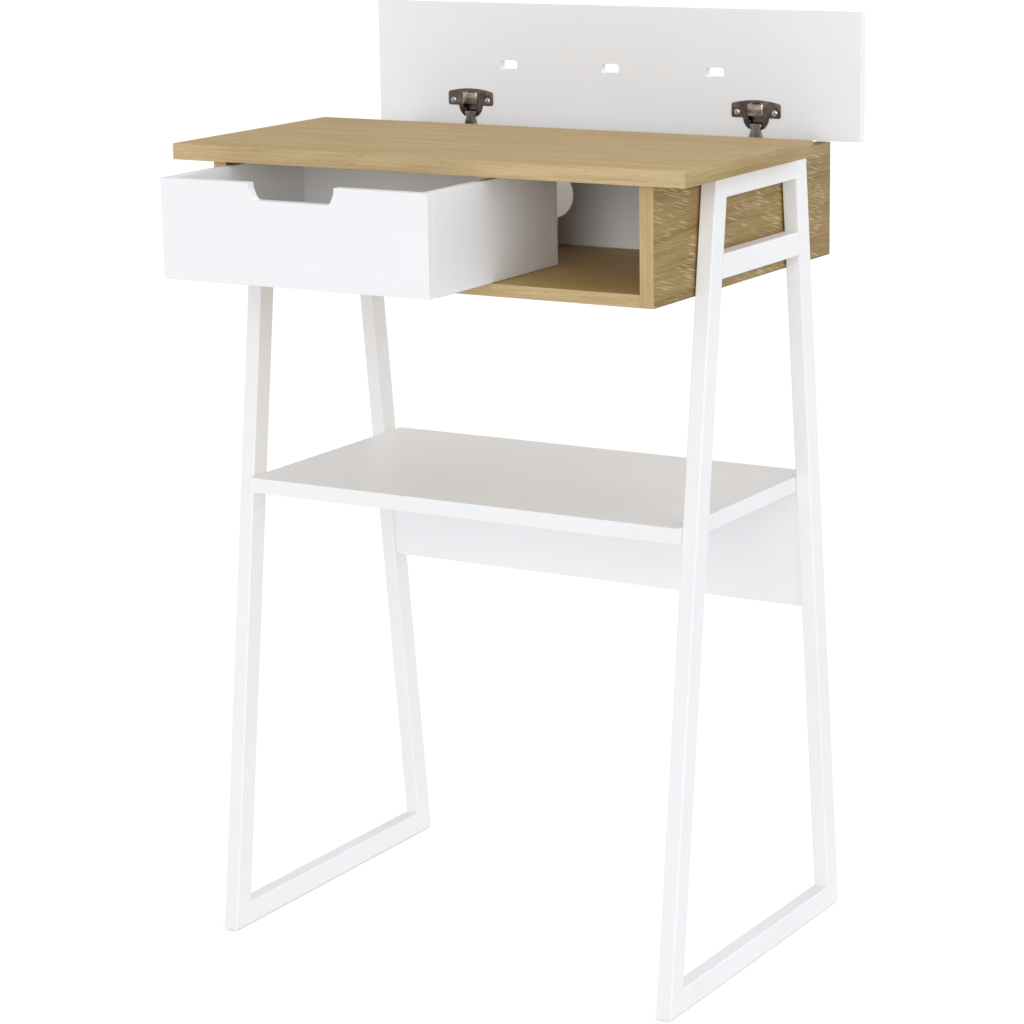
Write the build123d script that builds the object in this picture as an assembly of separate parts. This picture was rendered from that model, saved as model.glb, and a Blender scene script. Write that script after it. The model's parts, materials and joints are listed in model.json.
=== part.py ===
from build123d import *
from math import atan2, cos, degrees, hypot
import os

# Secretary desk: an oak desktop over an open oak case with a white drawer and an open niche,
# a cable compartment behind them under a hinged white lid, and a white shelf hung between two
# trapezoid frames of welded steel tube. The drawer stands drawn out and the lid stands open.
#
# Millimetres, X to the right, Y to the back, Z up from the floor. Lengths along Y are counted
# from the front edge of the desktop; save() moves the whole desk so that the origin lies on
# the floor under the middle of its outline as it stands.

middle_y = 179.25         # middle of the outline, drawer front to rear edge of the case

# Desktop and case
desktop_width = 700.0
desktop_depth = 326.5
board = 19.5              # desktop and shelf
height = 1007.0           # top of the desktop
case_half = 301.5         # to the outer faces of the side panels
case_front = 16.5
case_rear = 478.0
case_height = 140.0
side_board = 18.0
bottom_board = 15.0
divider_front = 324.0
thin_board = 12.0         # divider, back panel, lid and drawer
cable_hole = 60.0
cable_hole_x = -7.5

case_top = height - board                  # underside of the desktop
case_low = case_top - case_height
floor_z = case_low + bottom_board          # floor of the niche
inner_half = case_half - side_board
cable_hole_z = (floor_z + case_top) / 2    # half way up the case

# Leg frames, drawn by their outer outline in the YZ plane
tube_x = 20.0
tube_w = 29.0
tube_wall = 1.5
frame_gap = 2.0           # spacer washers between case and frame
glide = 1.5
foot_front, foot_rear = 7.5, 473.0
top_front, top_rear = 128.5, 363.0
cross_low = 865.0
frame_inner = case_half + frame_gap
frame_outer = frame_inner + tube_x

# Shelf and stretcher
shelf_top = 583.0
shelf_front, shelf_rear = 70.0, 420.0
stretcher_low = 411.0
stretcher_board = 18.0

# Drawer, drawn out
drawer_left, drawer_right = -279.5, 89.5
drawer_front_y = -119.5
drawer_depth = 288.5
drawer_low = floor_z + 0.8
drawer_top = case_top - 5.0
drawer_mid = (drawer_left + drawer_right) / 2
drawer_bottom_board = 6.0
notch_top, notch_flat, notch_deep = 119.0, 103.0, 20.0
rail_width, rail_height = 20.0, 7.0

# Lid, standing open, and its two cup hinges
lid_low = 990.2
lid_height = 157.3
lid_front = 460.5
slot_pitch, slot_long, slot_high = 150.0, 26.0, 12.0
hinge_x = 208.0
pin_deep, pin_up = 8.0, 16.3               # hinge axis, from the lid's face and lower edge
cup_up, cup_radius, cup_deep = 25.5, 17.4, 10.7
screw_half, screw_up = 26.0, 31.0
pin_radius = 1.0

# Fasteners, by radius, with the hole each one needs
bolt_radius, bolt_hole = 3.0, 3.2
cam_radius, cam_hole = 7.4, 7.5
dowel_radius, dowel_hole = 3.9, 4.0
stud_radius, stud_hole = 2.9, 3.2
barrel_radius, barrel_hole = 4.9, 5.0
flip = Plane.YZ           # the desk's middle, which the left-hand pieces are mirrored about


def block(x0, x1, y0, y1, z0, z1, soft=0.0):
    solid = Pos((x0 + x1) / 2, (y0 + y1) / 2, (z0 + z1) / 2) * Box(x1 - x0, y1 - y0, z1 - z0)
    return fillet(solid.edges(), soft) if soft else solid


def rod_x(x0, x1, y, z, radius):
    return Pos((x0 + x1) / 2, y, z) * Rot(0, 90, 0) * Cylinder(radius, abs(x1 - x0))


def rod_y(y0, y1, x, z, radius):
    return Pos(x, (y0 + y1) / 2, z) * Rot(90, 0, 0) * Cylinder(radius, abs(y1 - y0))


def rod_z(z0, z1, x, y, radius):
    return Pos(x, y, (z0 + z1) / 2) * Cylinder(radius, abs(z1 - z0))


def profile_x(points, x0, x1):
    # a flat outline in the YZ plane, drawn out along X from x0 to x1
    face = make_face(Polyline([(0, y, z) for y, z in points], close=True))
    return Pos(x0, 0, 0) * extrude(face, x1 - x0, dir=(1, 0, 0))


def crosshead(radius, arm, deep):
    # cross recess, cut from the top of a head that points to +Z
    bar = Box(2 * arm, radius * 0.28, deep)
    return bar + Rot(0, 0, 90) * bar


def save(name, *solids):
    placed = [Pos(0, -middle_y, 0) * solid for solid in solids]
    shape = placed[0] if len(placed) == 1 else Compound(children=placed)
    shape.label = name
    export_step(shape, f"parts/{name}.step")


os.makedirs("parts", exist_ok=True)

# Desktop and case ------------------------------------------------------------------------

desktop = block(-desktop_width / 2, desktop_width / 2, 0, desktop_depth, case_top, height, 0.8)
side_right = block(case_half - side_board, case_half, case_front, case_rear,
                   case_low, case_top - 0.01, 0.5)
bottom = block(-inner_half, inner_half, case_front, case_rear, case_low, floor_z, 0.4)
divider = block(-inner_half, inner_half, divider_front, divider_front + thin_board,
                floor_z, case_top - 0.3, 0.4)
divider -= rod_y(divider_front - 1, divider_front + thin_board + 1, cable_hole_x, cable_hole_z,
                 cable_hole / 2)
back = block(-inner_half, inner_half, case_rear - thin_board, case_rear, floor_z,
             case_top - 2.5, 0.4)

# Leg bolts pass from inside the case through side panel and spacer into nuts in the tubes.
rail_mid_z = case_top - tube_w / 2
cross_mid_z = cross_low + tube_w / 2
bolt_spots = [(180, rail_mid_z), (318, rail_mid_z), (165, cross_mid_z), (332, cross_mid_z)]
bolts, spacers, nuts = [], [], []
for y, z in bolt_spots:
    sink = Pos(inner_half + 1.75, y, z) * Rot(0, 90, 0) * Cone(5.75, bolt_hole, 3.5)
    hole = rod_x(inner_half - 1, frame_inner + 1, y, z, bolt_hole)
    side_right -= hole + sink
    head = Pos(inner_half + 1.85, y, z) * Rot(0, 90, 0) * Cone(5.45, bolt_radius, 3.3)
    key = Pos(inner_half + 1, y, z) * Rot(0, 90, 0) * extrude(RegularPolygon(2.0, 6), 2.2)
    shank = rod_x(inner_half + 2, frame_inner + tube_wall + 6, y, z, bolt_radius)
    bolts.append(head + shank - key)
    spacers.append(rod_x(case_half, frame_inner, y, z, 8) - hole)
    nut = Pos(frame_inner + tube_wall, y, z) * Rot(0, 90, 0) * extrude(RegularPolygon(5.8, 6), 5)
    nuts.append(nut - rod_x(frame_inner, frame_outer, y, z, bolt_radius + 0.02))

# Cams pull the case together; dowels line it up.
cams, dowels = [], []
for y in (60, 290):
    cams.append(rod_x(inner_half + 0.1, inner_half + 12, y, case_top - 24, cam_radius))
    side_right -= rod_x(inner_half - 1, inner_half + 12.2, y, case_top - 24, cam_hole)
for y in (90, 400):
    cams.append(rod_z(case_low + 0.1, case_low + 11, inner_half - 24, y, cam_radius))
    hole = rod_z(case_low - 1, case_low + 11.2, inner_half - 24, y, cam_hole)
    bottom = bottom - hole - mirror(hole, about=flip)
for y in (40, 245):
    dowels.append(rod_z(case_top - 20, case_top + 11, case_half - side_board / 2, y, dowel_radius))
    hole = rod_z(case_top - 20.5, case_top + 11.5, case_half - side_board / 2, y, dowel_hole)
    side_right -= hole
    desktop = desktop - hole - mirror(hole, about=flip)
for y in (60, 240, 430):
    z = case_low + bottom_board / 2
    dowels.append(rod_x(inner_half - 18, inner_half + 12, y, z, dowel_radius))
    hole = rod_x(inner_half - 18.5, inner_half + 12.5, y, z, dowel_hole)
    side_right -= hole
    bottom = bottom - hole - mirror(hole, about=flip)

save("desktop", desktop)
save("side_panel_right", side_right)
save("side_panel_left", mirror(side_right, about=flip))
save("divider_panel", divider)
save("case_cams", *cams, *[mirror(c, about=flip) for c in cams])
save("case_dowels", *dowels, *[mirror(d, about=flip) for d in dowels])

# Leg frames ------------------------------------------------------------------------------


def line_shift(a, b, shift):
    # the line a-b moved sideways by shift, to the left of its direction
    length = hypot(b[0] - a[0], b[1] - a[1])
    ny, nz = -(b[1] - a[1]) / length * shift, (b[0] - a[0]) / length * shift
    return (a[0] + ny, a[1] + nz), (b[0] + ny, b[1] + nz)


def meet(line, other):
    (y1, z1), (y2, z2) = line
    (y3, z3), (y4, z4) = other
    cross = (y1 - y2) * (z3 - z4) - (z1 - z2) * (y3 - y4)
    p, q = y1 * z2 - z1 * y2, y3 * z4 - z3 * y4
    return ((p * (y3 - y4) - (y1 - y2) * q) / cross, (p * (z3 - z4) - (z1 - z2) * q) / cross)


def tube(outline, spare=60.0):
    # outline: outer edge start and end, then inner edge end and start; the ends are cut to
    # the outline, and the bore runs out through both of them
    a, b, c, d = outline
    solid = profile_x(outline, frame_inner, frame_outer)
    along = Vector(0, b[0] - a[0], b[1] - a[1]).normalized()
    long_edges = [e for e in solid.edges() if abs(e.tangent_at(0.5).dot(along)) > 0.999]
    solid = fillet(long_edges, 2.0)
    turn = degrees(atan2(b[1] - a[1], b[0] - a[0]))
    mid_y, mid_z = sum(p[0] for p in outline) / 4, sum(p[1] for p in outline) / 4
    length = hypot(b[0] - a[0], b[1] - a[1]) + 2 * spare
    bore = Box(tube_x - 2 * tube_wall, length, tube_w - 2 * tube_wall)
    return solid - Pos((frame_inner + frame_outer) / 2, mid_y, mid_z) * Rot(turn, 0, 0) * bore


slope_front = (top_front - foot_front) / case_top
slope_rear = (top_rear - foot_rear) / case_top
low, high = glide, case_top
front_line = ((foot_front + slope_front * low, low), (top_front, high))
rear_line = ((foot_rear + slope_rear * low, low), (top_rear, high))
base_line = (front_line[0], rear_line[0])
head_line = (front_line[1], rear_line[1])
front_in = line_shift(*front_line, -tube_w)
rear_in = line_shift(*rear_line, tube_w)
base_in = line_shift(*base_line, tube_w)
head_in = line_shift(*head_line, -tube_w)
cross_a = ((0, cross_low), (1, cross_low))
cross_b = ((0, cross_low + tube_w), (1, cross_low + tube_w))

frame = {
    "front_leg": tube((front_line[0], front_line[1], meet(front_in, head_in),
                       meet(front_in, base_in))),
    "rear_leg": tube((rear_line[0], rear_line[1], meet(rear_in, head_in),
                      meet(rear_in, base_in))),
    "base_rail": tube((base_line[0], base_line[1], meet(rear_in, base_in),
                       meet(front_in, base_in))),
    "top_rail": tube((head_line[0], head_line[1], meet(rear_in, head_in),
                      meet(front_in, head_in))),
    "cross_rail": tube((meet(front_in, cross_a), meet(rear_in, cross_a),
                        meet(rear_in, cross_b), meet(front_in, cross_b))),
}
for y, z in bolt_spots:
    name = "top_rail" if z > 900 else "cross_rail"
    frame[name] -= rod_x(frame_inner - 1, frame_inner + tube_wall + 1, y, z, bolt_hole)

for name, solid in frame.items():
    save(f"{name}_right", solid)
    save(f"{name}_left", mirror(solid, about=flip))
save("leg_bolts", *bolts, *[mirror(b, about=flip) for b in bolts])
save("leg_spacers", *spacers, *[mirror(s, about=flip) for s in spacers])
save("weld_nuts", *nuts, *[mirror(n, about=flip) for n in nuts])

glides = []
for y in (40, 440):
    glides.append(block(frame_inner + 1, frame_outer - 1, y - 25, y + 25, 0, glide - 0.01, 0.5))
save("floor_glides", *glides, *[mirror(g, about=flip) for g in glides])

# Shelf and stretcher, bolted between the frames --------------------------------------------

shelf_low = shelf_top - board
shelf = block(-frame_inner, frame_inner, shelf_front, shelf_rear, shelf_low, shelf_top, 0.8)


def leg_mid(slope, foot, side, z):
    # middle of a leg tube at height z
    return foot + slope * z + side * tube_w / 2 / cos(atan2(slope, 1))


tilt = degrees(atan2(-slope_rear, 1))
skirt_mid = (stretcher_low + shelf_low) / 2
skirt_y = leg_mid(slope_rear, foot_rear, -1, skirt_mid)
stretcher = Pos(0, skirt_y, skirt_mid) * Rot(tilt, 0, 0) * Box(
    2 * frame_inner, stretcher_board, shelf_low - stretcher_low + 40)
stretcher &= block(-400, 400, 0, 600, stretcher_low, shelf_low - 0.01)
stretcher = fillet([e for e in stretcher.edges() if e.center().Z < stretcher_low + 1], 0.8)

studs, barrels = [], []
for slope, foot, side in ((slope_front, foot_front, 1), (slope_rear, foot_rear, -1)):
    y, z = leg_mid(slope, foot, side, shelf_low + board / 2), shelf_low + board / 2
    studs.append(rod_x(frame_inner - 40, frame_inner, y, z, stud_radius))
    barrel = rod_z(shelf_low + 0.1, shelf_low + 15, frame_inner - 34, y, barrel_radius)
    barrels.append(barrel - rod_x(frame_inner - 41, frame_inner, y, z, stud_radius + 0.1))
    hole = rod_x(frame_inner - 41, frame_inner + 1, y, z, stud_hole)
    hole += rod_z(shelf_low - 1, shelf_low + 15.2, frame_inner - 34, y, barrel_hole)
    shelf = shelf - hole - mirror(hole, about=flip)
for z in (stretcher_low + 32, shelf_low - 32):
    y = leg_mid(slope_rear, foot_rear, -1, z)
    studs.append(rod_x(frame_inner - 40, frame_inner, y, z, stud_radius))
    barrel = Pos(frame_inner - 34, y, z) * Rot(tilt, 0, 0) * rod_y(-5.5, 8.9, 0, 0, barrel_radius)
    barrels.append(barrel - rod_x(frame_inner - 41, frame_inner, y, z, stud_radius + 0.1))
    hole = rod_x(frame_inner - 41, frame_inner + 1, y, z, stud_hole)
    hole += Pos(frame_inner - 34, y, z) * Rot(tilt, 0, 0) * rod_y(-5.7, 12, 0, 0, barrel_hole)
    stretcher = stretcher - hole - mirror(hole, about=flip)

save("shelf", shelf)
save("shelf_stretcher", stretcher)
save("frame_studs", *studs, *[mirror(s, about=flip) for s in studs])
save("barrel_nuts", *barrels, *[mirror(b, about=flip) for b in barrels])

# Drawer ----------------------------------------------------------------------------------

front_y = drawer_front_y
rear_y = front_y + drawer_depth
bottom_z = drawer_low + 10.0
groove = 6.0

front = block(drawer_left, drawer_right, front_y, front_y + thin_board,
              drawer_low, drawer_top, 0.6)
notch_z = drawer_top - notch_deep
notch_face = make_face(Polyline([
    (drawer_mid - notch_top / 2, drawer_top + 5), (drawer_mid - notch_top / 2, drawer_top - 6),
    (drawer_mid - notch_flat / 2 - 2, notch_z), (drawer_mid + notch_flat / 2 + 2, notch_z),
    (drawer_mid + notch_top / 2, drawer_top - 6), (drawer_mid + notch_top / 2, drawer_top + 5)],
    close=True))
notch_face = fillet(notch_face.vertices().filter_by(lambda v: v.Y < drawer_top), 8)
notch = Pos(0, front_y - 1, 0) * Rot(90, 0, 0) * Pos(0, 0, -thin_board - 2) * extrude(
    notch_face, thin_board + 2)
front -= notch

side_l = block(drawer_left, drawer_left + thin_board, front_y + thin_board, rear_y - thin_board,
               drawer_low, drawer_top, 0.5)
rear = block(drawer_left, drawer_right, rear_y - thin_board, rear_y, drawer_low, drawer_top, 0.5)
panel = block(drawer_left + groove + 0.2, drawer_right - groove - 0.2,
              front_y + groove + 0.2, rear_y - groove - 0.2,
              bottom_z, bottom_z + drawer_bottom_board)
groove_cut = block(drawer_left + groove, drawer_right - groove, front_y + groove,
                   rear_y - groove, bottom_z - 0.1, bottom_z + drawer_bottom_board + 0.1)
front -= groove_cut
side_l -= groove_cut
rear -= groove_cut
side_r = mirror(side_l, about=Plane.YZ.offset(drawer_mid))

# The shoe sits in a cut-out of the rear board and straddles the guide rail.
shoe_half, rail_half = 15.5, rail_width / 2
rear -= block(drawer_mid - shoe_half - 0.1, drawer_mid + shoe_half + 0.1, rear_y - 20,
              rear_y + 5, drawer_low - 1, bottom_z + 0.01)
shoe = block(drawer_mid - shoe_half, drawer_mid + shoe_half, rear_y - 16, rear_y + 2,
             floor_z + 0.7, bottom_z - 0.2, 0.5)
shoe -= block(drawer_mid - rail_half - 0.3, drawer_mid + rail_half + 0.3, rear_y - 20,
              rear_y + 5, floor_z - 1, floor_z + rail_height + 0.7)
felts = [block(x, x + 10, front_y + 20, rear_y - 20, floor_z + 0.3, drawer_low - 0.01)
         for x in (drawer_left + 1, drawer_right - 11)]

screws = []
for x in (drawer_left + thin_board / 2, drawer_right - thin_board / 2):
    for z in (drawer_low + 32, drawer_top - 28):
        head = Pos(x, rear_y - 1.6, z) * Rot(-90, 0, 0) * Cone(2.0, 4.3, 3.0)
        head -= Pos(x, rear_y, z) * Rot(-90, 0, 0) * crosshead(4.3, 2.2, 2.4)
        screws.append(head + rod_y(rear_y - 44, rear_y - 3.2, x, z, 1.9))
        hole = rod_y(rear_y - 45, rear_y + 1, x, z, 2.0)
        hole += Pos(x, rear_y - 1.5, z) * Rot(-90, 0, 0) * Cone(2.0, 4.6, 3.4)
        rear -= hole
        side_l -= hole
        side_r -= hole

save("drawer_front", front)
save("drawer_side_left", side_l)
save("drawer_side_right", side_r)
save("drawer_back", rear)
save("drawer_bottom", panel)
save("drawer_shoe", shoe)
save("drawer_felts", *felts)
save("drawer_screws", *screws)

# Guide rail on the case floor, with a stop screw near its front and a stop block behind it
rail_front, rail_rear = case_front + 14.5, 307.4
rail = block(drawer_mid - rail_half, drawer_mid + rail_half, rail_front, rail_rear,
             floor_z, floor_z + rail_height, 0.8)
stop_screw_y = 85.0
rail_screws = [rod_z(floor_z + rail_height, floor_z + rail_height + 3.4,
                     drawer_mid, stop_screw_y, 3.4) +
               rod_z(floor_z - 8, floor_z + rail_height, drawer_mid, stop_screw_y, 1.9)]
for y in (50, 180, 295):
    z = floor_z + rail_height
    head = Pos(drawer_mid, y, z - 1.5) * Cone(1.9, 3.6, 2.6)
    head -= Pos(drawer_mid, y, z) * crosshead(3.6, 1.9, 2.2)
    rail_screws.append(head + rod_z(floor_z - 8, z - 2.7, drawer_mid, y, 1.8))
    rail -= Pos(drawer_mid, y, z - 1.4) * Cone(2.0, 4.0, 2.9)
for y in (50, stop_screw_y, 180, 295):
    hole = rod_z(floor_z - 8.5, floor_z + rail_height + 1, drawer_mid, y, 2.0)
    rail -= hole
    bottom -= hole
stop = block(drawer_mid - 22, drawer_mid + 22, rail_rear + 0.01, divider_front - 1,
             floor_z, floor_z + 14, 0.8)
save("bottom_panel", bottom)
save("drawer_rail", rail)
save("rail_screws", *rail_screws)
save("drawer_stop", stop)

# Lid -------------------------------------------------------------------------------------

lid = block(-desktop_width / 2, desktop_width / 2, lid_front, lid_front + thin_board,
            lid_low, lid_low + lid_height, 0.8)
for x in (-slot_pitch, 0, slot_pitch):
    slot = extrude(RectangleRounded(slot_long, slot_high, 4.5), thin_board + 4)
    lid -= Pos(x, lid_front + thin_board + 2, lid_low + lid_height / 2) * Rot(90, 0, 0) * slot

pin_y, pin_z = lid_front + pin_deep, lid_low + pin_up
cup_z = lid_low + cup_up
cover_low = cup_z + 1.5       # the arm passes half a millimetre below it as the lid turns


def flange_outline(grow=0.0):
    # wings and lower lobe of the cup's flange, seen from the front, about the cup's middle
    wings = Pos(0, 10) * Rectangle(68 + grow, 22 + grow)
    wings &= Pos(0, 21 - 130) * Circle(130 + grow / 2)
    wings = fillet(wings.vertices(), 3)
    return wings + Circle(cup_radius + 0.6 + grow / 2)


def facing_front(shape, x, y, z):
    # an XY drawing raised along +Z, set up so that +Z points to the front
    return Pos(x, y, z) * Rot(90, 0, 0) * shape


cups, covers, pins, cup_screws, arms, plates, hinge_screws = [], [], [], [], [], [], []
for x in (-hinge_x, hinge_x):
    bowl = rod_y(lid_front, lid_front + cup_deep, x, cup_z, cup_radius)
    hollow = rod_y(lid_front - 3, lid_front + cup_deep - 0.5, x, cup_z, cup_radius - 0.8)
    mouth = Pos(0, -1) * RectangleRounded(20.4, 36, 3) + Pos(0, -12) * Rectangle(20.4, 20)
    lip = Pos(0, 6.5) * RectangleRounded(24, 25, 4)
    cup = facing_front(extrude(flange_outline(), 1.0), x, lid_front, cup_z)
    cup += facing_front(extrude(lip, 1.8), x, lid_front, cup_z)
    cup -= facing_front(extrude(mouth, 5), x, lid_front + 1, cup_z)
    cup += bowl - hollow
    cheek = block(x + 8.9, x + 10.1, lid_front, lid_front + cup_deep - 0.2,
                  pin_z - 3, pin_z + 5)
    cheek += mirror(cheek, about=Plane.YZ.offset(x))
    cup += cheek & rod_y(lid_front, lid_front + cup_deep - 0.2, x, cup_z, cup_radius - 0.3)
    cup -= rod_x(x - 10, x + 10, pin_y, pin_z, pin_radius + 0.01)
    pins.append(rod_x(x - 9.95, x + 9.95, pin_y, pin_z, pin_radius))
    lid -= rod_y(lid_front - 1, lid_front + cup_deep + 0.2, x, cup_z, cup_radius + 0.1)

    # Cover over the pin: it fills the upper half of the cup and swells out over the flange's mouth.
    cover = block(x - 9.8, x + 9.8, lid_front - 2.5, lid_front + 9.6, cover_low, cup_z + 15.3)
    cover &= rod_y(lid_front - 3, lid_front + 9.6, x, cup_z, cup_radius - 1.2)
    swell = block(x - 11, x + 11, lid_front - 4.4, lid_front - 1.81, cover_low, cup_z + 16.0)
    swell = fillet(swell.edges().filter_by(Axis.Z).group_by(Axis.Y)[0], 2.4)
    covers.append(cover + swell)

    for sx in (x - screw_half, x + screw_half):
        sz = lid_low + screw_up
        hole = rod_y(lid_front - 3, lid_front + 10, sx, sz, 1.8)
        cup -= hole
        lid -= hole
        head = rod_y(lid_front - 2.7, lid_front - 1.01, sx, sz, 3.9)
        head = fillet(head.edges().group_by(Axis.Y)[0], 1.2)
        head -= Pos(sx, lid_front - 2.7, sz) * Rot(90, 0, 0) * crosshead(3.4, 1.9, 2.0)
        cup_screws.append(head + rod_y(lid_front - 1.1, lid_front + 9.5, sx, sz, 1.7))
    cups.append(cup)

    # Arm: an eye on the pin, a waisted neck that drops in front of the lid, and a channel below.
    neck_y = lid_front - 2.2
    arm = rod_x(x - 8.4, x + 8.4, pin_y, pin_z, 1.9)
    arm += block(x - 8.4, x + 8.4, neck_y, pin_y, pin_z - 0.9, pin_z + 0.9)
    waist = [(8.4, pin_z + 0.9), (8.4, pin_z - 2.5), (5.8, pin_z - 5.5), (9, pin_z - 14.0), (9, case_top - 5)]
    neck = make_face(Polyline(*waist, *[(-half, z) for half, z in reversed(waist)], close=True))
    arm += Pos(x, neck_y + 1.6, 0) * Rot(90, 0, 0) * extrude(neck, 1.6)
    corner = arm.edges().filter_by(Axis.X).sort_by_distance((x, neck_y, pin_z + 0.9))[0]
    arm = fillet(corner, 1.2)
    channel = block(x - 9, x + 9, neck_y, neck_y + 5.5, case_top - 62, case_top)
    channel = fillet(channel.edges().filter_by(Axis.Y), 2.5)
    channel -= block(x - 7.6, x + 7.6, neck_y + 1.4, neck_y + 7, case_top - 70, case_top - 4)
    arm += channel
    arm -= rod_x(x - 9, x + 9, pin_y, pin_z, pin_radius + 0.05)

    plate_y = case_rear - thin_board
    plate = block(x - 26, x + 26, neck_y + 5.5, plate_y, case_top - 46, case_top - 30)
    plate = fillet(plate.edges().filter_by(Axis.Y), 4)
    plate += block(x - 9, x + 9, neck_y + 5.5, plate_y, case_top - 60, case_top - 12)
    for sx in (x - 19, x + 19):
        sz = case_top - 38
        hole = rod_y(neck_y, plate_y + 10, sx, sz, 1.8)
        plate -= hole
        back -= hole
        head = rod_y(neck_y + 3.8, neck_y + 5.49, sx, sz, 3.4)
        head = fillet(head.edges().group_by(Axis.Y)[0], 1.2)
        head -= Pos(sx, neck_y + 3.8, sz) * Rot(90, 0, 0) * crosshead(3.4, 1.9, 2.0)
        hinge_screws.append(head + rod_y(neck_y + 5.4, plate_y + 9.5, sx, sz, 1.7))
    for sz in (case_top - 20, case_top - 50):
        arm -= rod_y(neck_y - 1, neck_y + 5, x, sz, 2.5)
        head = rod_y(neck_y - 1.2, neck_y - 0.01, x, sz, 3.3)
        head -= Pos(x, neck_y - 1.2, sz) * Rot(90, 0, 0) * crosshead(3.3, 1.9, 1.4)
        hinge_screws.append(head + rod_y(neck_y - 0.1, neck_y + 5.45, x, sz, 2.4))
    arms.append(arm)
    plates.append(plate)

save("back_panel", back)
save("lid_panel", lid)
for side, cup, arm in zip(("left", "right"), cups, arms):
    save(f"hinge_cup_{side}", cup)
    save(f"hinge_arm_{side}", arm)
save("hinge_covers", *covers)
save("hinge_pins", *pins)
save("cup_screws", *cup_screws)
save("hinge_plates", *plates)
save("hinge_screws", *hinge_screws)

# Rubber buffers on the side panels carry the closed lid clear of the case.
closed_z = pin_z - pin_deep      # underside of the closed lid
buffers = [rod_z(case_top, closed_z - 0.4, x, 350, 4.5)
           for x in (-case_half + side_board / 2, case_half - side_board / 2)]
save("lid_buffers", *[fillet(b.edges().group_by(Axis.Z)[-1], 1.2) for b in buffers])
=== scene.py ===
import json
import math
import bmesh
import bpy
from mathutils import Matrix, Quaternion, Vector


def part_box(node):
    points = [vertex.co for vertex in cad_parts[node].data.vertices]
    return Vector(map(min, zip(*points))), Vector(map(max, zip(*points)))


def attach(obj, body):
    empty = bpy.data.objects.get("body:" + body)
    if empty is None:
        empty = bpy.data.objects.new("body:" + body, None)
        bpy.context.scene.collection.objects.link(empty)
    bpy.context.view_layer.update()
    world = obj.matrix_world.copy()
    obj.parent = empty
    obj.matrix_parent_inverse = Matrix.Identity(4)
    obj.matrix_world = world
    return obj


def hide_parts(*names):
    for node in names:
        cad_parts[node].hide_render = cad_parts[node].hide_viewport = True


# secretary desk: oak case and top, white drawer, lid and shelf, white steel frames
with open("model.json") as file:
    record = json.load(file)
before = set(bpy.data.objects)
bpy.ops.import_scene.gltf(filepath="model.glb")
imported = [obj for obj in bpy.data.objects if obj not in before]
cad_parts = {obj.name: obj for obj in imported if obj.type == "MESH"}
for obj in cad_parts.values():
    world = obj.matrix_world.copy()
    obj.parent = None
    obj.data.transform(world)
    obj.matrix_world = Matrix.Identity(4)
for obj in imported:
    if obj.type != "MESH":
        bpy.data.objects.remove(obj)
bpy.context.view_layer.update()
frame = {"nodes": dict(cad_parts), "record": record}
nodes = frame["nodes"]
bodyOf = {node: body for body, members in frame["record"]["behaviour"]["bodies"].items() for node in members}
mm = 0.001


def linear(hexColour):  # sRGB hex to linear colour
    parts = [int(hexColour[i:i + 2], 16) / 255 for i in (1, 3, 5)]
    return [p / 12.92 if p <= 0.04045 else ((p + 0.055) / 1.055) ** 2.4 for p in parts] + [1.0]


def add(tree, kind, settings=None, links=None):  # one node, its settings and what feeds it
    node = tree.nodes.new(kind)
    for key, value in (settings or {}).items():
        if isinstance(key, str) and hasattr(node, key):
            setattr(node, key, value)
        else:
            node.inputs[key].default_value = value
    for key, source in (links or {}).items():
        tree.links.new(source, node.inputs[key])
    return node


def newMaterial(name, shader):  # a material with one shader, whose own sockets take the even values
    material = bpy.data.materials.new(name)
    material.use_nodes = True
    tree = material.node_tree
    tree.nodes.clear()
    surface = add(tree, "ShaderNodeBsdfPrincipled", shader)
    add(tree, "ShaderNodeOutputMaterial", links={"Surface": surface.outputs["BSDF"]})
    return material, tree, surface


def ramp(tree, source, stops):  # colour ramp from (place, hex) stops
    node = add(tree, "ShaderNodeValToRGB", links={"Fac": source})
    while len(node.color_ramp.elements) < len(stops):
        node.color_ramp.elements.new(0.5)
    for element, (place, colour) in zip(node.color_ramp.elements, stops):
        element.position = place
        element.color = linear(colour)
    return node.outputs["Color"]


def perMetre(sizeMm):  # texture scale for a feature of that size
    return 1 / (sizeMm * mm)


# Oak veneer, sanded and satin varnished: long fine streaks, small open pores, pale ray flecks
oak = {
    "streakMm": 1.9, "streakStretch": 46, "bandMm": 17, "bandStretch": 11,
    "poreMm": 0.9, "poreStretch": 14,        # real pores are 0.2 mm wide, drawn coarser so that they show
    "fleckMm": 1.5, "fleckStretch": 20, "fleckTilt": 14, "patchMm": 40,
    "roughness": 0.52, "gloss": 0.22, "bumpMm": 0.04, "toneStops": (0.38, 0.5, 0.62),
    "poreTone": "#9C8767", "poreStops": (0.30, 0.40), "poreAmount": 0.28,
    "fleckTone": "#DCCB9C", "fleckRange": (0.58, 0.69), "patchRange": (0.42, 0.56),
}
oakTop = {
    "name": "oak_veneer_top", "along": "X", "offset": 0.31, "fleck": 0.0,
    "face": ("#AF8F52", "#B8975A", "#C09F63"), "edge": ("#B19665", "#BEA373", "#C9AF82"),
    "end": ("#957B4A", "#A48C5B", "#B39C6B"),
}
oakSide = {
    "name": "oak_veneer_side", "along": "Y", "offset": 1.7, "fleck": 0.55,
    "face": ("#7B6131", "#907543", "#9E844F"), "edge": ("#7B6131", "#907543", "#9E844F"),
    "end": ("#B19665", "#BEA373", "#C9AF82"),
}


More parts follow.
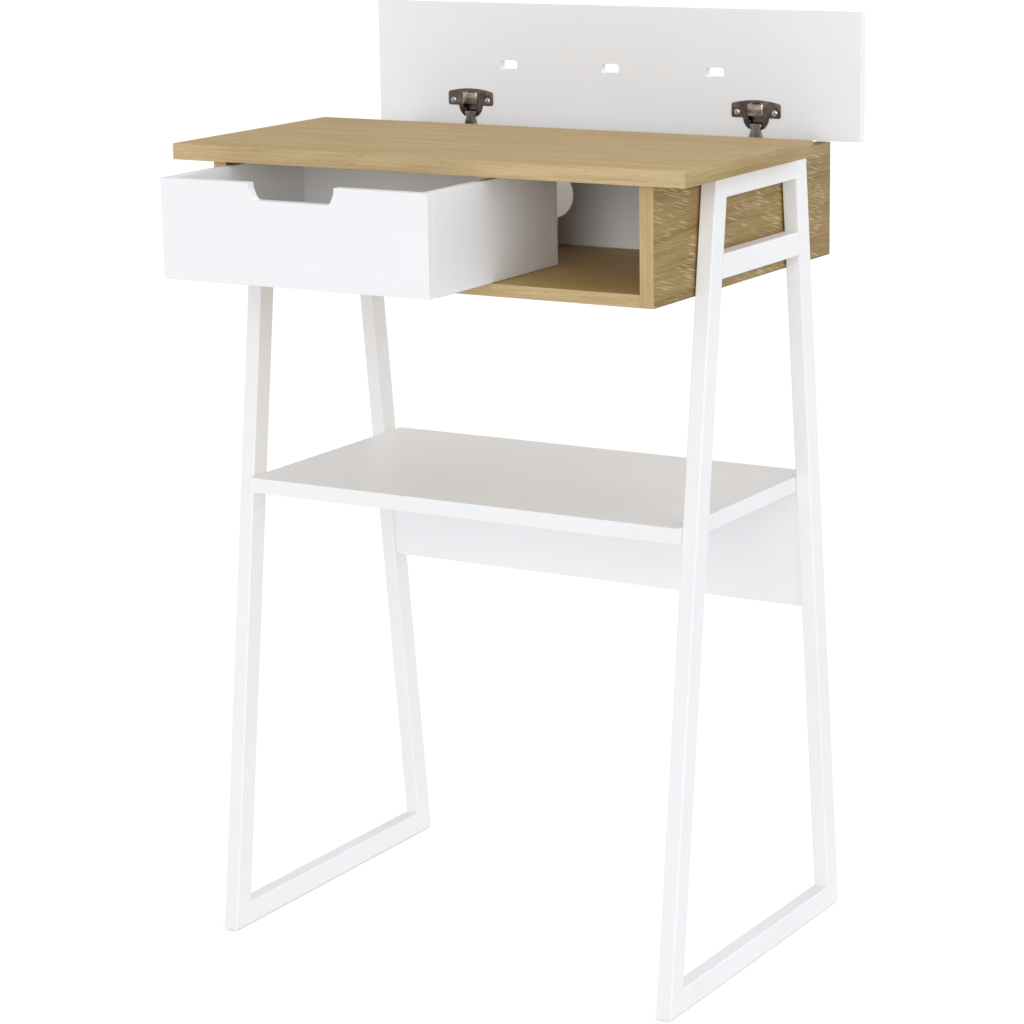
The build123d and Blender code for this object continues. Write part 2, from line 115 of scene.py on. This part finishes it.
def mixOf(tree, kind, amount, first, second, blend="MIX"):  # mix two sockets, or values, by an amount
    slots = {"FLOAT": (2, 3, 0), "VECTOR": (4, 5, 1), "RGBA": (6, 7, 2)}[kind]
    settings, links = {"data_type": kind}, {}
    if kind == "RGBA":
        settings["blend_type"] = blend
    for key, value in ((0, amount), (slots[0], first), (slots[1], second)):
        (links if isinstance(value, bpy.types.NodeSocket) else settings)[key] = value
    return add(tree, "ShaderNodeMix", settings, links).outputs[slots[2]]


def facing(tree, parts, axis):  # 1 on faces that look along that axis
    size = add(tree, "ShaderNodeMath", {"operation": "ABSOLUTE"}, {0: parts.outputs[axis]})
    return add(tree, "ShaderNodeMath", {"operation": "GREATER_THAN", 1: 0.7}, {0: size.outputs[0]}).outputs[0]


def stretchedNoise(tree, vector, sizeMm, stretch, detail, turn=0.0):
    turned = add(tree, "ShaderNodeMapping", {"Rotation": (0, math.radians(turn), 0)}, {"Vector": vector})
    lie = add(tree, "ShaderNodeMapping", {"Scale": (1 / stretch, 1, 1)}, {"Vector": turned.outputs["Vector"]})
    return add(tree, "ShaderNodeTexNoise", {"Scale": perMetre(sizeMm), "Detail": detail},
               {"Vector": lie.outputs["Vector"]}).outputs["Fac"]


def between(tree, value, limits, most):  # 0 below the limits, rising to most above them
    return add(tree, "ShaderNodeMapRange", {"From Min": limits[0], "From Max": limits[1], "To Max": most},
               {"Value": value}).outputs["Result"]


def oakVeneer(spec):
    material, tree, surface = newMaterial(
        spec["name"], {"Roughness": oak["roughness"], "IOR": 1.5, "Specular IOR Level": oak["gloss"]})
    place = add(tree, "ShaderNodeTexCoord")
    turn = {"X": 0, "Y": math.pi / 2}[spec["along"]]
    face = add(tree, "ShaderNodeMapping", {"Location": (spec["offset"], 0, 0), "Rotation": (0, 0, turn)},
               {"Vector": place.outputs["Object"]}).outputs["Vector"]
    normal = add(tree, "ShaderNodeSeparateXYZ", links={"Vector": place.outputs["Normal"]})
    spot = add(tree, "ShaderNodeSeparateXYZ", links={"Vector": place.outputs["Object"]})
    crossed = {"X": "YZX", "Y": "ZXY"}[spec["along"]]      # bands on the two ends run across the board
    band = add(tree, "ShaderNodeCombineXYZ", links={i: spot.outputs[a] for i, a in enumerate(crossed)})
    onEnd = facing(tree, normal, spec["along"])
    onEdge = facing(tree, normal, {"X": "Y", "Y": "Z"}[spec["along"]])
    grain = mixOf(tree, "VECTOR", onEnd, face, band.outputs[0])
    streak = stretchedNoise(tree, grain, oak["streakMm"], oak["streakStretch"], 3.0)
    broad = stretchedNoise(tree, grain, oak["bandMm"], oak["bandStretch"], 2.0)
    pore = stretchedNoise(tree, grain, oak["poreMm"], oak["poreStretch"], 1.0)
    figure = mixOf(tree, "FLOAT", 0.5, streak, broad)
    tones = {part: ramp(tree, figure, list(zip(oak["toneStops"], spec[part]))) for part in ("face", "edge", "end")}
    colour = mixOf(tree, "RGBA", onEdge, tones["face"], tones["edge"])
    colour = mixOf(tree, "RGBA", onEnd, colour, tones["end"])
    dark = ramp(tree, pore, list(zip(oak["poreStops"], (oak["poreTone"], "#FFFFFF"))))
    colour = mixOf(tree, "RGBA", oak["poreAmount"], colour, dark, "MULTIPLY")
    if spec["fleck"]:
        ray = stretchedNoise(tree, face, oak["fleckMm"], oak["fleckStretch"], 0.0, oak["fleckTilt"])
        patch = add(tree, "ShaderNodeTexNoise", {"Scale": perMetre(oak["patchMm"]), "Detail": 1.0},
                    {"Vector": face}).outputs["Fac"]
        thin = between(tree, ray, oak["fleckRange"], 1.0)
        there = between(tree, patch, oak["patchRange"], spec["fleck"])
        amount = add(tree, "ShaderNodeMath", {"operation": "MULTIPLY"}, {0: thin, 1: there}).outputs[0]
        plainFace = add(tree, "ShaderNodeMath", {"operation": "SUBTRACT", 0: 1.0}, {1: onEnd}).outputs[0]
        amount = add(tree, "ShaderNodeMath", {"operation": "MULTIPLY"}, {0: amount, 1: plainFace}).outputs[0]
        colour = mixOf(tree, "RGBA", amount, colour, linear(oak["fleckTone"]))
    tree.links.new(colour, surface.inputs["Base Color"])
    bump = add(tree, "ShaderNodeBump", {"Strength": 0.35, "Distance": oak["bumpMm"] * mm}, {"Height": pore})
    tree.links.new(bump.outputs["Normal"], surface.inputs["Normal"])
    return material


# Sprayed finishes: an even colour with the faint ripple that sprayed paint dries to
paint = {
    "lacquer": {"name": "satin_white_lacquer", "tone": "#F5F5F5", "deeper": "#F2F2F2", "roughness": 0.36,
                "peelMm": 2.6, "bumpMm": 0.02, "coat": 0.25},   # on smooth board, brushed out flat
    "powder": {"name": "white_powder_coat", "tone": "#F5F5F5", "deeper": "#F2F2F2", "roughness": 0.42,
               "peelMm": 1.5, "bumpMm": 0.05, "coat": 0.1},     # baked on steel, a livelier orange peel
}


def sprayed(spec):
    material, tree, surface = newMaterial(
        spec["name"], {"Roughness": spec["roughness"], "IOR": 1.5, "Coat Weight": spec["coat"],
                       "Coat Roughness": 0.3})
    place = add(tree, "ShaderNodeTexCoord")
    cloud = add(tree, "ShaderNodeTexNoise", {"Scale": perMetre(180), "Detail": 2.0},
                {"Vector": place.outputs["Object"]})
    tree.links.new(ramp(tree, cloud.outputs["Fac"], [(0.35, spec["deeper"]), (0.65, spec["tone"])]),
                   surface.inputs["Base Color"])
    peel = add(tree, "ShaderNodeTexNoise", {"Scale": perMetre(spec["peelMm"]), "Detail": 2.0},
               {"Vector": place.outputs["Object"]})
    bump = add(tree, "ShaderNodeBump", {"Strength": 0.4, "Distance": spec["bumpMm"] * mm},
               {"Height": peel.outputs["Fac"]})
    tree.links.new(bump.outputs["Normal"], surface.inputs["Normal"])
    return material


# Plated steel, pressed or turned: drawn lines that blur the highlight, and a slightly cloudy plating. The hinge
# cups and plates hold a painted dark reflection in their base colour, the pin covers a painted highlight
plating = {
    "paintedDarkNickel": {"name": "nickel_plated_steel_painted_dark_reflection", "dark": "#594C44", "light": "#7A6C62",
               "roughness": 0.3, "lineMm": 0.7},     # pressed cups and plates, base colour darkened to brown as a painted dark reflection
    "paintedHighlightNickel": {"name": "nickel_plated_steel_painted_highlight", "dark": "#8C8178", "light": "#C9BFB5",
               "roughness": 0.2, "lineMm": 1.6},     # the covers over the pins, the same metal lightened as a painted highlight
    "arm": {"name": "drawn_nickel_plated_steel", "dark": "#77746F", "light": "#A3A09B",
            "roughness": 0.28, "lineMm": 0.8},       # hinge arms, greyer and duller
    "zinc": {"name": "bright_zinc_plated_steel", "dark": "#B4B8BC", "light": "#DCDFE2",
             "roughness": 0.26, "lineMm": 0.5},      # screws, cams, bolts
}


def plated(spec):
    material, tree, surface = newMaterial(spec["name"], {"Metallic": 1.0})
    place = add(tree, "ShaderNodeTexCoord")
    lie = add(tree, "ShaderNodeMapping", {"Scale": (1, 1, 0.06)}, {"Vector": place.outputs["Object"]})
    line = add(tree, "ShaderNodeTexNoise", {"Scale": perMetre(spec["lineMm"]), "Detail": 2.0},
               {"Vector": lie.outputs["Vector"]})
    cloud = add(tree, "ShaderNodeTexNoise", {"Scale": perMetre(9), "Detail": 3.0},
                {"Vector": place.outputs["Object"]})
    tree.links.new(ramp(tree, cloud.outputs["Fac"], [(0.35, spec["dark"]), (0.65, spec["light"])]),
                   surface.inputs["Base Color"])
    smooth, dull = spec["roughness"] - 0.06, spec["roughness"] + 0.08
    rough = add(tree, "ShaderNodeMapRange", {"To Min": smooth, "To Max": dull}, {"Value": line.outputs["Fac"]})
    tree.links.new(rough.outputs["Result"], surface.inputs["Roughness"])
    bump = add(tree, "ShaderNodeBump", {"Strength": 0.3, "Distance": 0.02 * mm}, {"Height": line.outputs["Fac"]})
    tree.links.new(bump.outputs["Normal"], surface.inputs["Normal"])
    return material


# Small parts: colour from noise between two tones, with a surface grain of a real size
plain = {
    "beech": {"name": "bare_beech", "dark": "#B98F66", "light": "#D2AC84", "roughness": 0.62,
              "grainMm": 1.2, "stretch": 12, "bumpMm": 0.05},     # planed, short brown rays
    "plastic": {"name": "moulded_white_polyamide", "dark": "#DEDEDB", "light": "#E8E8E5", "roughness": 0.48,
                "grainMm": 0.6, "stretch": 1, "bumpMm": 0.03},    # spark eroded mould grain
    "felt": {"name": "grey_wool_felt", "dark": "#8B8985", "light": "#B3B1AC", "roughness": 0.95,
             "grainMm": 0.8, "stretch": 3, "bumpMm": 0.3},        # matted fibres
    "rubber": {"name": "soft_white_rubber", "dark": "#CFCFCB", "light": "#DADAD6", "roughness": 0.6,
               "grainMm": 0.7, "stretch": 1, "bumpMm": 0.02},     # moulded, slightly dusty
}


def grained(spec):
    material, tree, surface = newMaterial(spec["name"], {"Roughness": spec["roughness"], "IOR": 1.5})
    place = add(tree, "ShaderNodeTexCoord")
    lie = add(tree, "ShaderNodeMapping", {"Scale": (1, 1 / spec["stretch"], 1)},
              {"Vector": place.outputs["Object"]})
    fibre = add(tree, "ShaderNodeTexNoise", {"Scale": perMetre(spec["grainMm"]), "Detail": 3.0},
                {"Vector": lie.outputs["Vector"]})
    tree.links.new(ramp(tree, fibre.outputs["Fac"], [(0.35, spec["dark"]), (0.65, spec["light"])]),
                   surface.inputs["Base Color"])
    bump = add(tree, "ShaderNodeBump", {"Strength": 0.5, "Distance": spec["bumpMm"] * mm},
               {"Height": fibre.outputs["Fac"]})
    tree.links.new(bump.outputs["Normal"], surface.inputs["Normal"])
    return material


lacquer, powder = sprayed(paint["lacquer"]), sprayed(paint["powder"])
# the cups' and plates' metal carries a painted dark reflection, the covers' metal a painted highlight
paintedDarkNickel, paintedHighlightNickel, armMetal, zinc = (plated(plating[k]) for k in ("paintedDarkNickel", "paintedHighlightNickel", "arm", "zinc"))
beech, plastic, felt, rubber = (grained(plain[k]) for k in ("beech", "plastic", "felt", "rubber"))
topVeneer, sideVeneer = oakVeneer(oakTop), oakVeneer(oakSide)
# the hinge_metal slot gets the metal with the painted dark reflection
finishes = {"oak": topVeneer, "white_lacquer": lacquer, "powder_coat": powder, "zinc_steel": zinc,
            "hinge_metal": paintedDarkNickel, "beech": beech, "white_plastic": plastic, "grey_felt": felt,
            "buffer_rubber": rubber}
own = {"side_panel_left": sideVeneer, "side_panel_right": sideVeneer,
       "hinge_arm_left": armMetal, "hinge_arm_right": armMetal, "hinge_pins": armMetal}
for entry in frame["record"]["subparts"]:
    for holder in nodes[entry["node"]].material_slots:
        holder.material = own.get(entry["node"], finishes[entry["material_slot"]])
print("materials on", len(nodes), "CAD nodes")


def separateSolids(node):  # (lowest, highest) corner of each solid in a CAD node
    mesh = bmesh.new()
    mesh.from_mesh(nodes[node].data)
    bmesh.ops.remove_doubles(mesh, verts=mesh.verts, dist=1e-6)
    boxes, seen = [], set()
    for start in mesh.verts:
        if start in seen:
            continue
        seen.add(start)
        group, waiting = [], [start]
        while waiting:
            vert = waiting.pop()
            group.append(vert.co.copy())
            for link in vert.link_edges:
                other = link.other_vert(vert)
                if other not in seen:
                    seen.add(other)
                    waiting.append(other)
        boxes.append((Vector(map(min, *group)), Vector(map(max, *group))))
    mesh.free()
    return boxes


def middle(box):
    return (box[0] + box[1]) / 2


def settle(piece, material, sharpDegrees=32):  # plain mesh, smooth but for its sharp edges
    mesh = bpy.data.meshes.new_from_object(piece.evaluated_get(bpy.context.evaluated_depsgraph_get()))
    piece.modifiers.clear()
    piece.data = mesh
    mesh.materials.clear()
    mesh.materials.append(material)
    mesh.polygons.foreach_set("use_smooth", [True] * len(mesh.polygons))
    mesh.set_sharp_from_angle(angle=math.radians(sharpDegrees))
    mesh.update()
    return piece


def newObject(name, mesh):
    piece = bpy.data.objects.new(name, mesh)
    bpy.context.scene.collection.objects.link(piece)
    return piece


# Screws and cams, from one tree: a headed pin with a cross recess, set at each point.
# All sizes in mm. arm, slot and deep are the recess's half length, width and depth.
screwKinds = {
    "pan": {"headRadius": 3.9, "underRadius": 3.9, "headDeep": 0.7, "dome": 1.0,
            "arm": 2.5, "slot": 0.95, "deep": 1.5},
    "flush": {"headRadius": 4.2, "underRadius": 2.0, "headDeep": 2.8, "dome": 0.05,
              "arm": 2.6, "slot": 1.0, "deep": 1.8},
    "cam": {"headRadius": 7.35, "underRadius": 7.35, "headDeep": 10.5, "dome": 0.12,
            "arm": 4.2, "slot": 1.5, "deep": 2.4},
}
zincScrews = {"shank": 1.7, "cupReach": 9.5, "plateReach": 6.0, "drawerShank": 1.9, "drawerReach": 38,
              "drawerSunk": 0.1, "camSunk": 0.3, "camShank": 3, "camReach": 0.2}
screwInputs = ["headRadius", "underRadius", "headDeep", "dome", "arm", "slot", "deep", "shank", "reach"]


def screwTree():
    tree = bpy.data.node_groups.new("headed_pins", "GeometryNodeTree")
    face = tree.interface
    face.new_socket("Geometry", in_out="INPUT", socket_type="NodeSocketGeometry")
    for name in screwInputs:
        face.new_socket(name, in_out="INPUT", socket_type="NodeSocketFloat")
    face.new_socket("turn", in_out="INPUT", socket_type="NodeSocketVector")
    face.new_socket("finish", in_out="INPUT", socket_type="NodeSocketMaterial")
    face.new_socket("Geometry", in_out="OUTPUT", socket_type="NodeSocketGeometry")
    given = add(tree, "NodeGroupInput").outputs

    def size(x, y, z):
        links = {i: v for i, v in enumerate((x, y, z)) if isinstance(v, bpy.types.NodeSocket)}
        plain = {i: v for i, v in enumerate((x, y, z)) if i not in links}
        return add(tree, "ShaderNodeCombineXYZ", plain, links).outputs[0]

    def scaled(socket, factor):
        return add(tree, "ShaderNodeMath", {"operation": "MULTIPLY", 1: factor}, {0: socket}).outputs[0]

    head = add(tree, "GeometryNodeMeshCone", {"Vertices": 24, "fill_type": "NGON"}, {
        "Radius Top": given["headRadius"], "Radius Bottom": given["underRadius"], "Depth": given["headDeep"]})
    head = add(tree, "GeometryNodeTransform", links={
        "Geometry": head.outputs["Mesh"], "Translation": size(0.0, 0.0, scaled(given["headDeep"], -1.0))})
    ball = add(tree, "GeometryNodeMeshUVSphere", {"Segments": 24, "Rings": 10, "Radius": 1.0})
    ball = add(tree, "GeometryNodeTransform", links={
        "Geometry": ball.outputs["Mesh"],
        "Scale": size(given["headRadius"], given["headRadius"], given["dome"])})
    crown = add(tree, "GeometryNodeMeshBoolean", {"operation": "UNION"})
    tree.links.new(ball.outputs["Geometry"], crown.inputs["Mesh"])
    tree.links.new(head.outputs["Geometry"], crown.inputs["Mesh"])
    cut = add(tree, "GeometryNodeMeshBoolean", {"operation": "DIFFERENCE"}, {"Mesh 1": crown.outputs["Mesh"]})
    long, wide, low = scaled(given["arm"], 2.0), given["slot"], scaled(given["deep"], 2.0)
    for bar in (size(long, wide, low), size(wide, long, low)):
        block = add(tree, "GeometryNodeMeshCube", links={"Size": bar})
        lifted = add(tree, "GeometryNodeTransform", links={
            "Geometry": block.outputs["Mesh"], "Translation": size(0.0, 0.0, given["dome"])})
        tree.links.new(lifted.outputs["Geometry"], cut.inputs["Mesh 2"])
    pin = add(tree, "GeometryNodeMeshCylinder", {"Vertices": 16},
              {"Radius": given["shank"], "Depth": given["reach"]})
    drop = add(tree, "ShaderNodeMath", {"operation": "SUBTRACT"},
               {0: scaled(given["reach"], -0.5), 1: given["headDeep"]})
    pin = add(tree, "GeometryNodeTransform", links={
        "Geometry": pin.outputs["Mesh"], "Translation": size(0.0, 0.0, drop.outputs[0])})
    whole = add(tree, "GeometryNodeJoinGeometry")
    tree.links.new(pin.outputs["Geometry"], whole.inputs["Geometry"])
    tree.links.new(cut.outputs["Mesh"], whole.inputs["Geometry"])
    spots = add(tree, "GeometryNodeMeshToPoints", links={"Mesh": given["Geometry"]})
    rotation = add(tree, "FunctionNodeEulerToRotation", links={"Euler": given["turn"]})
    copies = add(tree, "GeometryNodeInstanceOnPoints", links={
        "Points": spots.outputs["Points"], "Instance": whole.outputs["Geometry"],
        "Rotation": rotation.outputs["Rotation"]})
    real = add(tree, "GeometryNodeRealizeInstances", links={"Geometry": copies.outputs["Instances"]})
    done = add(tree, "GeometryNodeSetMaterial", links={
        "Geometry": real.outputs["Geometry"], "Material": given["finish"]})
    add(tree, "NodeGroupOutput", links={"Geometry": done.outputs["Geometry"]})
    return tree


pins = screwTree()


def headedPins(name, spots, kind, facing, shankMm, reachMm, finish):
    # spots are the middles of the heads' seats, facing is where the heads look
    mesh = bpy.data.meshes.new(name)
    mesh.from_pydata([tuple(p) for p in spots], [], [])
    piece = newObject(name, mesh)
    modifier = piece.modifiers.new("pins", "NODES")
    modifier.node_group = pins
    keys = {item.name: item.identifier for item in pins.interface.items_tree if item.in_out == "INPUT"}
    sizes = {**screwKinds[kind], "shank": shankMm, "reach": reachMm}
    for label in screwInputs:
        modifier[keys[label]] = float(sizes[label] * mm)
    modifier[keys["turn"]] = tuple(Vector(facing).to_track_quat("Z", "Y").to_euler())
    modifier[keys["finish"]] = finish
    return settle(piece, finish)


def joined(name, parts):  # several plain meshes as one piece
    mesh = bmesh.new()
    for part in parts:
        mesh.from_mesh(part.data)
    whole = bpy.data.meshes.new(name)
    mesh.to_mesh(whole)
    mesh.free()
    whole.materials.append(parts[0].data.materials[0])
    whole.set_sharp_from_angle(angle=math.radians(32))
    for part in parts:
        bpy.data.objects.remove(part)
    return newObject(name, whole)


def spotsAt(boxes, axis, highest, inset=0.0):  # head places: middle of the box, at one end of an axis
    spots = []
    for box in boxes:
        spot = middle(box)
        spot[axis] = box[1][axis] - inset if highest else box[0][axis] + inset
        spots.append(spot)
    return spots


def makeScrews(spec):
    dome = screwKinds["pan"]["dome"] * mm
    cupSpots = spotsAt(separateSolids("cup_screws"), 1, False, dome)
    cups = headedPins("cup_screw_set", cupSpots, "pan", (0, -1, 0), spec["shank"], spec["cupReach"], zinc)
    plateSpots = spotsAt(separateSolids("hinge_screws"), 1, False, dome)
    plates = headedPins("plate_screw_set", plateSpots, "pan", (0, -1, 0), spec["shank"], spec["plateReach"], zinc)
    drawerSpots = spotsAt(separateSolids("drawer_screws"), 1, True, spec["drawerSunk"] * mm)
    drawer = headedPins("drawer_screw_set", drawerSpots, "flush", (0, 1, 0),
                        spec["drawerShank"], spec["drawerReach"], zinc)
    camBoxes = separateSolids("case_cams")
    floorTop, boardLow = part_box("bottom_panel")[1].z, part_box("divider_panel")[0].z
    upright = [box for box in camBoxes if box[0].z < floorTop and box[1].z < boardLow]
    sideways = [box for box in camBoxes if box not in upright]
    sunk = spec["camSunk"] * mm
    turns = [(spotsAt(upright, 2, False, sunk), (0, 0, -1))]
    for side, looks in ((-1, (1, 0, 0)), (1, (-1, 0, 0))):    # the cams that face inward from each side
        mine = [box for box in sideways if middle(box).x * side > 0]
        turns.append((spotsAt(mine, 0, side < 0, sunk), looks))
    cams = joined("cam_set", [headedPins("cams", spots, "cam", looks, spec["camShank"], spec["camReach"], zinc)
                              for spots, looks in turns])
    for piece, body, node in ((cups, "lid", "cup_screws"), (plates, "desk", "hinge_screws"),
                              (drawer, "drawer", "drawer_screws"), (cams, "desk", "case_cams")):
        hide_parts(node)
        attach(piece, body)
    print("screws and cams set")


makeScrews(zincScrews)

# Pressed and cut metal of the hinges: the same shapes with their edges broken
hinge = {"edgeMm": 0.35, "coverEdgeMm": 0.6, "mergeMm": 0.001,
         "flatDegrees": 0.5, "foldDegrees": 40, "sharpDegrees": 50}


def softened(node, finish, edgeMm, spec=hinge):
    mesh = bmesh.new()
    mesh.from_mesh(nodes[node].data)
    bmesh.ops.remove_doubles(mesh, verts=mesh.verts, dist=spec["mergeMm"] * mm)
    bmesh.ops.dissolve_limit(mesh, angle_limit=math.radians(spec["flatDegrees"]),
                             verts=mesh.verts, edges=mesh.edges)
    merged = bpy.data.meshes.new(node + "_soft")
    mesh.to_mesh(merged)
    mesh.free()
    piece = newObject(node + "_soft", merged)
    bevel = piece.modifiers.new("edges", "BEVEL")
    bevel.width, bevel.segments, bevel.limit_method = edgeMm * mm, 2, "ANGLE"
    bevel.angle_limit = math.radians(spec["foldDegrees"])
    settle(piece, finish, spec["sharpDegrees"])
    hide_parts(node)
    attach(piece, bodyOf[node])


# cups and plates take the metal with the painted dark reflection
for side in ("left", "right"):
    softened("hinge_cup_" + side, paintedDarkNickel, hinge["edgeMm"])
    softened("hinge_arm_" + side, armMetal, hinge["edgeMm"])
softened("hinge_plates", paintedDarkNickel, hinge["edgeMm"])
# the pin covers take the metal with the painted highlight
softened("hinge_covers", paintedHighlightNickel, hinge["coverEdgeMm"])
print("hinges made")

# Floor, light and camera: a white studio, lit softly from the front, the right and behind
studio = {
    "floorSize": 40.0, "floorTone": "#F4F4F4", "floorGlow": 0.3,
    "surround": 0.64, "surroundTone": "#F8FAFF", "gamma": 1.12,
    "lights": [   # broad distant softboxes, by where they stand seen from the desk and how wide they look
        {"name": "front_softbox", "azimuth": 12, "elevation": 12, "width": 32, "strength": 0.92},
        {"name": "right_softbox", "azimuth": 78, "elevation": 20, "width": 50, "strength": 0.62},
        {"name": "rear_softbox", "azimuth": 172, "elevation": 24, "width": 55, "strength": 1.0},
    ],
    "aim": (0.0137, 0.0, 0.5489), "distance": 3.85, "azimuth": 31.037, "elevation": 13.181, "roll": -0.937,
    "lens": 109.71, "shift": (-0.0002, 0.0004),
}


def towards(azimuth, elevation):  # unit vector from the desk to there; azimuth 0 is straight in front
    a, e = math.radians(azimuth), math.radians(elevation)
    return Vector((math.sin(a) * math.cos(e), -math.cos(a) * math.cos(e), math.sin(e)))


def makeStudio(spec):
    scene = bpy.context.scene
    scene.view_settings.view_transform = "Standard"
    scene.view_settings.gamma = spec["gamma"]
    half = spec["floorSize"] / 2
    mesh = bpy.data.meshes.new("floor")
    mesh.from_pydata([(-half, -half, 0), (half, -half, 0), (half, half, 0), (-half, half, 0)], [], [(0, 1, 2, 3)])
    floor = bpy.data.objects.new("floor", mesh)
    scene.collection.objects.link(floor)
    material, tree, surface = newMaterial("pale_matt_floor", {
        "Roughness": 0.9, "Base Color": linear(spec["floorTone"]), "Emission Color": (1, 1, 1, 1)})
    seen = add(tree, "ShaderNodeLightPath").outputs["Is Camera Ray"]    # lifts the floor to white, lights nothing
    lift = add(tree, "ShaderNodeMath", {"operation": "MULTIPLY", 1: spec["floorGlow"]}, {0: seen})
    tree.links.new(lift.outputs[0], surface.inputs["Emission Strength"])
    mesh.materials.append(material)
    world = bpy.data.worlds.new("white_studio")
    world.use_nodes = True
    scene.world = world
    tree = world.node_tree
    tree.nodes.clear()
    path = add(tree, "ShaderNodeLightPath")
    lit = add(tree, "ShaderNodeBackground", {"Color": linear(spec["surroundTone"]), "Strength": spec["surround"]})
    seen = add(tree, "ShaderNodeBackground", {"Color": (1, 1, 1, 1), "Strength": 1.0})
    both = add(tree, "ShaderNodeMixShader", links={
        0: path.outputs["Is Camera Ray"], 1: lit.outputs["Background"], 2: seen.outputs["Background"]})
    add(tree, "ShaderNodeOutputWorld", links={"Surface": both.outputs["Shader"]})
    for box in spec["lights"]:
        light = bpy.data.lights.new(box["name"], "SUN")
        light.angle, light.energy = math.radians(box["width"]), box["strength"]
        lamp = bpy.data.objects.new(box["name"], light)
        lamp.rotation_euler = towards(box["azimuth"], box["elevation"]).to_track_quat("Z", "Y").to_euler()
        scene.collection.objects.link(lamp)
    camera = bpy.data.objects.new("camera", bpy.data.cameras.new("camera"))
    camera.data.lens = spec["lens"]
    camera.data.shift_x, camera.data.shift_y = spec["shift"]
    back = towards(spec["azimuth"], spec["elevation"])
    camera.location = Vector(spec["aim"]) + back * spec["distance"]
    level = (-back).to_track_quat("-Z", "Y")
    camera.rotation_mode = "QUATERNION"
    camera.rotation_quaternion = level @ Quaternion((0, 0, 1), math.radians(spec["roll"]))
    scene.collection.objects.link(camera)
    scene.camera = camera


makeStudio(studio)
print("studio ready")
